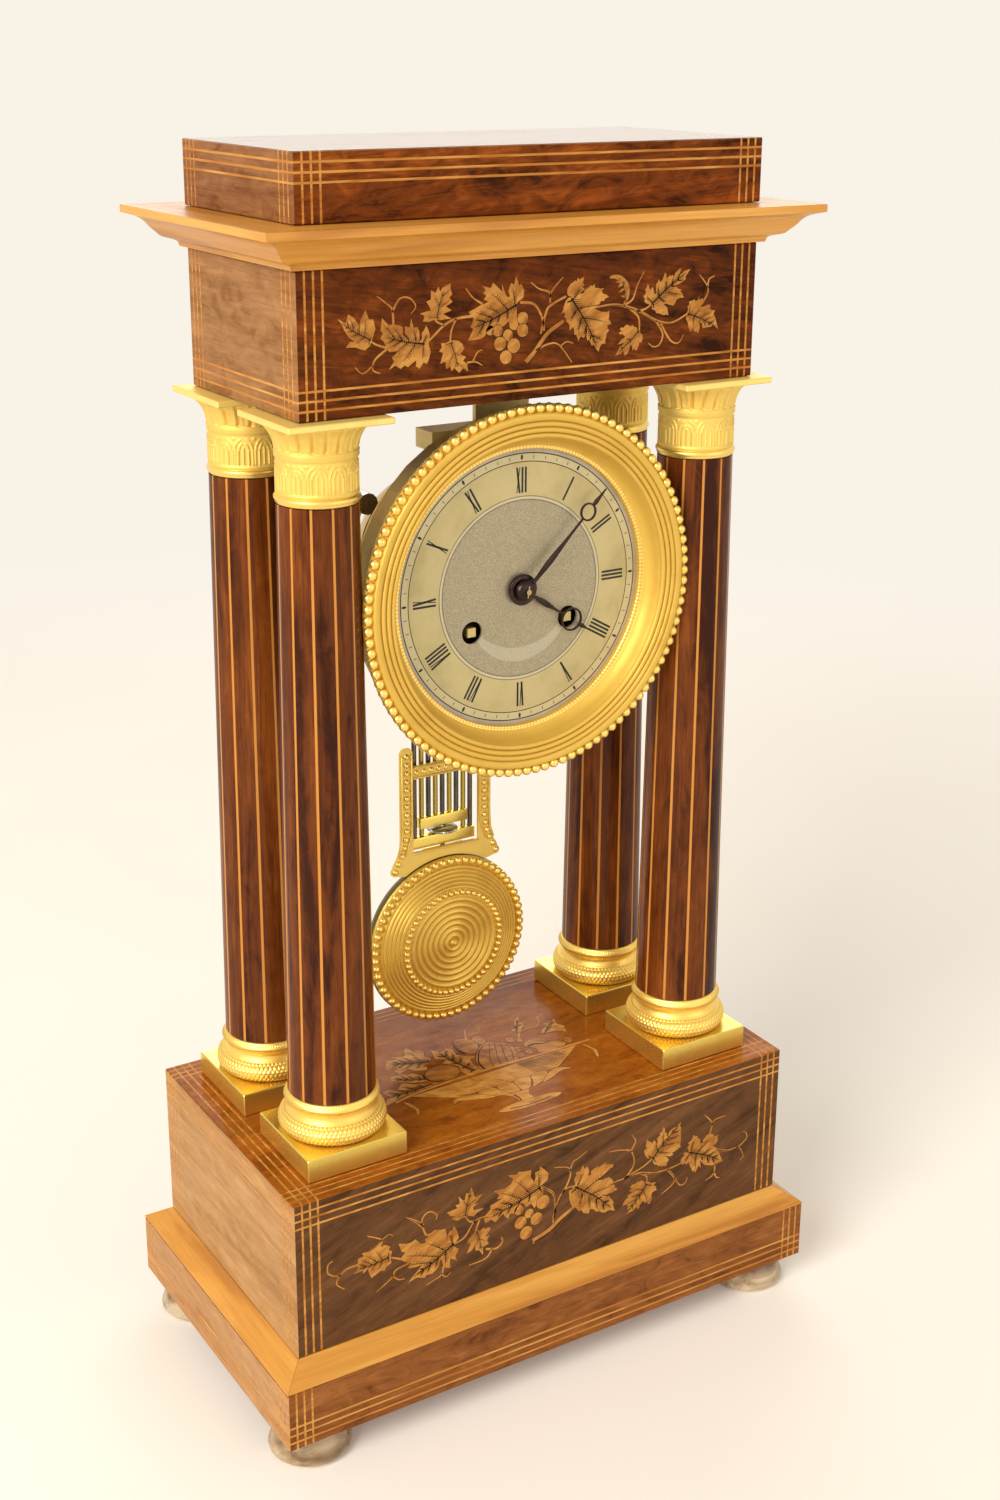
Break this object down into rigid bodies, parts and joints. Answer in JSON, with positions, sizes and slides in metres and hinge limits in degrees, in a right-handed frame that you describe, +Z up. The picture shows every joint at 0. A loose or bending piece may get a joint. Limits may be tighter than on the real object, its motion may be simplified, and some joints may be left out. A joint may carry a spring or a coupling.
{
  "type": "portico clock",
  "caption": "Veneered four-column portico mantel clock with a silvered dial, a movement hung under the frieze and a gridiron pendulum that swings between the columns.",
  "frame": {"origin": "centre of the ground footprint, in the plane that the four feet rest on", "axes": "+Z up, +X to the right as the dial is read, the dial faces -Y"},
  "size_m": [0.257, 0.1442, 0.5045],
  "materials": {
    "rosewood": "French-polished rosewood veneer with light stringing and marquetry",
    "light_wood": "polished light satinwood moulding",
    "foot_wood": "turned wood, worn",
    "gilt_bronze": "matt gilding with burnished edges",
    "brass": "aged brass",
    "silvered_brass": "matt silvering with black numerals",
    "steel": "polished steel",
    "blued_steel": "dark blued steel",
    "bell_metal": "turned bell metal"
  },
  "bodies": {
    "clock_case": {"foot_front_left": "foot_wood", "foot_front_right": "foot_wood", "foot_rear_left": "foot_wood", "foot_rear_right": "foot_wood", "plinth": "rosewood", "plinth_moulding": "light_wood", "base_box": "rosewood", "frieze_box": "rosewood", "cornice": "light_wood", "top_box": "rosewood", "column_block_front_left": "brass", "column_block_front_right": "brass", "column_block_rear_left": "brass", "column_block_rear_right": "brass", "column_base_front_left": "gilt_bronze", "column_base_front_right": "gilt_bronze", "column_base_rear_left": "gilt_bronze", "column_base_rear_right": "gilt_bronze", "column_shaft_front_left": "rosewood", "column_shaft_front_right": "rosewood", "column_shaft_rear_left": "rosewood", "column_shaft_rear_right": "rosewood", "capital_front_left": "gilt_bronze", "capital_front_right": "gilt_bronze", "capital_rear_left": "gilt_bronze", "capital_rear_right": "gilt_bronze", "abacus_front_left": "brass", "abacus_front_right": "brass", "abacus_rear_left": "brass", "abacus_rear_right": "brass", "bezel": "gilt_bronze", "movement_collar": "brass", "dial": "silvered_brass", "front_plate": "brass", "back_plate": "brass", "movement_hanger": "brass", "bell": "bell_metal", "suspension_cock": "brass"},
    "minute_train": {"minute_hand": "blued_steel", "cannon_pinion": "steel", "centre_wheel": "brass"},
    "hour_train": {"hour_hand": "blued_steel", "hour_wheel": "brass"},
    "minute_wheel": {"minute_wheel": "brass"},
    "second_wheel": {"second_wheel": "brass"},
    "third_wheel": {"third_wheel": "brass"},
    "escape_wheel": {"escape_wheel": "brass"},
    "going_barrel": {"going_barrel": "brass"},
    "strike_barrel": {"strike_barrel": "brass"},
    "going_winding_arbor": {"going_winding_arbor": "steel"},
    "strike_winding_arbor": {"strike_winding_arbor": "steel"},
    "hammer": {"hammer": "steel"},
    "crutch": {"crutch": "steel"},
    "pendulum": {"suspension_spring": "steel", "gridiron_outer": "steel", "gridiron_middle": "brass", "gridiron_inner": "brass"},
    "bob": {"pendulum_bob": "gilt_bronze", "pendulum_frame": "gilt_bronze"},
    "rating_nut": {"rating_nut": "brass"}
  },
  "joints": [
    {"name": "minute_hand_turn", "type": "hinge", "parent": "clock_case", "child": "minute_train", "pos_m": [0, -0.03, 0.3371], "axis": [0, 1, 0], "continuous": true},
    {"name": "hour_hand_turn", "type": "hinge", "parent": "clock_case", "child": "hour_train", "pos_m": [0, -0.03, 0.3371], "axis": [0, 1, 0], "continuous": true},
    {"name": "minute_wheel_turn", "type": "hinge", "parent": "clock_case", "child": "minute_wheel", "pos_m": [0.0085, -0.025, 0.3456], "axis": [0, 1, 0], "continuous": true},
    {"name": "second_wheel_turn", "type": "hinge", "parent": "clock_case", "child": "second_wheel", "pos_m": [0.0137, 0, 0.3439], "axis": [0, 1, 0], "continuous": true},
    {"name": "third_wheel_turn", "type": "hinge", "parent": "clock_case", "child": "third_wheel", "pos_m": [-0.00618, 0, 0.35099], "axis": [0, 1, 0], "continuous": true},
    {"name": "escape_wheel_turn", "type": "hinge", "parent": "clock_case", "child": "escape_wheel", "pos_m": [0, 0, 0.3622], "axis": [0, 1, 0], "continuous": true},
    {"name": "going_barrel_turn", "type": "hinge", "parent": "clock_case", "child": "going_barrel", "pos_m": [0.022, 0, 0.3226], "axis": [0, 1, 0], "continuous": true},
    {"name": "strike_barrel_turn", "type": "hinge", "parent": "clock_case", "child": "strike_barrel", "pos_m": [-0.022, 0, 0.3226], "axis": [0, 1, 0], "continuous": true},
    {"name": "going_winding", "type": "hinge", "parent": "clock_case", "child": "going_winding_arbor", "pos_m": [0.022, 0, 0.3226], "axis": [0, 1, 0], "range_deg": [0, 1620]},
    {"name": "strike_winding", "type": "hinge", "parent": "clock_case", "child": "strike_winding_arbor", "pos_m": [-0.022, 0, 0.3226], "axis": [0, 1, 0], "range_deg": [0, 1620]},
    {"name": "hammer_blow", "type": "hinge", "parent": "clock_case", "child": "hammer", "pos_m": [-0.04, 0, 0.3411], "axis": [0, 1, 0], "range_deg": [-12, 3], "stiffness_Nm_per_rad": 0.03},
    {"name": "pendulum_swing", "type": "hinge", "parent": "clock_case", "child": "pendulum", "pos_m": [0, 0.0285, 0.3772], "axis": [0, 1, 0], "range_deg": [-4, 4]},
    {"name": "crutch_swing", "type": "hinge", "parent": "clock_case", "child": "crutch", "pos_m": [0, 0, 0.3772], "axis": [0, 1, 0], "range_deg": [-4.2, 4.2]},
    {"name": "bob_rise", "type": "slide", "parent": "pendulum", "child": "bob", "axis": [0, 0, 1], "range_m": [-0.0006, 0.0006]},
    {"name": "rating_nut_turn", "type": "hinge", "parent": "pendulum", "child": "rating_nut", "pos_m": [0, 0.0285, 0.2155], "axis": [0, 0, 1], "range_deg": [-380, 380]}
  ],
  "couplings": [
    {"joint": "hour_hand_turn", "follows": "minute_hand_turn", "ratio": 0.083333},
    {"joint": "minute_wheel_turn", "follows": "minute_hand_turn", "ratio": -0.33333},
    {"joint": "second_wheel_turn", "follows": "minute_hand_turn", "ratio": -0.1194},
    {"joint": "going_barrel_turn", "follows": "minute_hand_turn", "ratio": 0.016282},
    {"joint": "third_wheel_turn", "follows": "minute_hand_turn", "ratio": -12},
    {"joint": "escape_wheel_turn", "follows": "minute_hand_turn", "ratio": 130.29},
    {"joint": "crutch_swing", "follows": "pendulum_swing", "ratio": 1},
    {"joint": "rating_nut_turn", "follows": "bob_rise", "rad_per_m": 10472}
  ]
}
